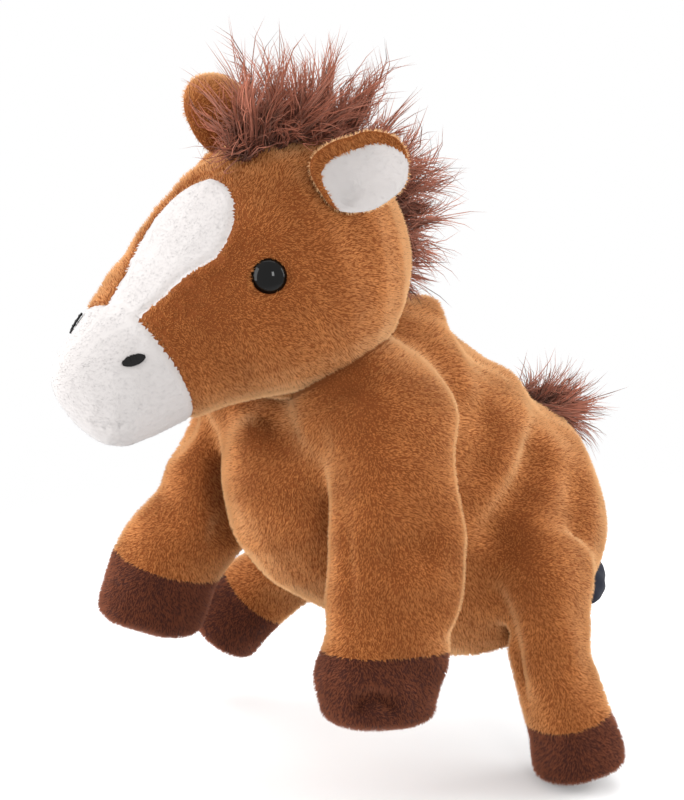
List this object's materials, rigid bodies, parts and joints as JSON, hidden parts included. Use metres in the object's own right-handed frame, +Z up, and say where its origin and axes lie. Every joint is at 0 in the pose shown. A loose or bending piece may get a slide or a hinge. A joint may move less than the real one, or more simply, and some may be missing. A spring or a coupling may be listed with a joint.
{
  "type": "horse hand puppet",
  "caption": "Plush horse hand puppet: a lined glove body open at the rump, a stuffed turning head, finger-worked front legs, dangling hind legs, a yarn mane and tail.",
  "frame": {"origin": "centre of the hand opening, in the plane of its hem", "axes": "+Z up as the puppet is worn, the horse faces -Y and its left side is +X"},
  "size_m": [0.1669, 0.2237, 0.2551],
  "materials": {
    "brown_plush": "short cut pile",
    "white_plush": "short cut pile",
    "dark_brown_plush": "short cut pile",
    "dark_brown_yarn": "brushed yarn",
    "navy_lining": "plain woven cloth",
    "polyester_stuffing": "loose fibre",
    "black_eye": "polished",
    "black_thread": "satin stitch",
    "washer_plastic": "moulded"
  },
  "bodies": {
    "torso": {"side_panel_left": "brown_plush", "side_panel_right": "brown_plush", "chest_belly_panel": "brown_plush", "glove_lining": "navy_lining", "wrist_cuff": "navy_lining"},
    "neck": {"finger_stall": "navy_lining"},
    "head": {"head_stuffing": "polyester_stuffing", "muzzle_panel": "white_plush", "blaze_panel": "white_plush", "face_panel_left": "brown_plush", "face_panel_right": "brown_plush", "eye_left": "black_eye", "eye_right": "black_eye", "eye_washer_left": "washer_plastic", "eye_washer_right": "washer_plastic", "nostril_left": "black_thread", "nostril_right": "black_thread", "ear_left": "brown_plush", "ear_lining_left": "white_plush", "ear_right": "brown_plush", "ear_lining_right": "white_plush", "mane": "dark_brown_yarn"},
    "leg_front_left": {"leg_front_left": "brown_plush", "hoof_front_left": "dark_brown_plush", "hoof_sole_front_left": "dark_brown_plush", "finger_sleeve_left": "navy_lining", "hoof_filling_front_left": "polyester_stuffing"},
    "leg_front_right": {"leg_front_right": "brown_plush", "hoof_front_right": "dark_brown_plush", "hoof_sole_front_right": "dark_brown_plush", "finger_sleeve_right": "navy_lining", "hoof_filling_front_right": "polyester_stuffing"},
    "leg_hind_left": {"leg_hind_left": "brown_plush", "hoof_hind_left": "dark_brown_plush", "hoof_sole_hind_left": "dark_brown_plush", "leg_filling_hind_left": "polyester_stuffing"},
    "leg_hind_right": {"leg_hind_right": "brown_plush", "hoof_hind_right": "dark_brown_plush", "hoof_sole_hind_right": "dark_brown_plush", "leg_filling_hind_right": "polyester_stuffing"},
    "tail": {"tail": "dark_brown_yarn"}
  },
  "joints": [
    {"name": "head_turn", "type": "hinge", "parent": "torso", "child": "neck", "pos_m": [0.002, -0.096, 0.125], "axis": [0, 0, 1], "range_deg": [-25, 25], "stiffness_Nm_per_rad": 0.15},
    {"name": "head_nod", "type": "hinge", "parent": "neck", "child": "head", "pos_m": [0.002, -0.096, 0.125], "axis": [0.9994, -0.0349, 0], "range_deg": [-8, 15], "stiffness_Nm_per_rad": 0.6},
    {"name": "front_left_leg_swing", "type": "hinge", "parent": "torso", "child": "leg_front_left", "pos_m": [0.044, -0.084, 0.065], "axis": [-0.9766, 0.2149, 0], "range_deg": [-12, 40], "stiffness_Nm_per_rad": 0.08},
    {"name": "front_right_leg_swing", "type": "hinge", "parent": "torso", "child": "leg_front_right", "pos_m": [-0.044, -0.084, 0.065], "axis": [-0.9766, -0.2149, 0], "range_deg": [-12, 30], "stiffness_Nm_per_rad": 0.08},
    {"name": "hind_left_leg_swing", "type": "hinge", "parent": "torso", "child": "leg_hind_left", "pos_m": [0.045, -0.019, 0.017], "axis": [-0.9859, -0.1183, 0.1183], "range_deg": [-20, 30], "stiffness_Nm_per_rad": 0.08},
    {"name": "hind_right_leg_swing", "type": "hinge", "parent": "torso", "child": "leg_hind_right", "pos_m": [-0.045, -0.019, 0.017], "axis": [-0.9859, 0.1183, -0.1183], "range_deg": [-30, 15], "stiffness_Nm_per_rad": 0.08},
    {"name": "tail_flop", "type": "hinge", "parent": "torso", "child": "tail", "pos_m": [0, 0.02441, 0.06279], "axis": [1, 0, 0], "range_deg": [-15, 15], "stiffness_Nm_per_rad": 0.004}
  ]
}
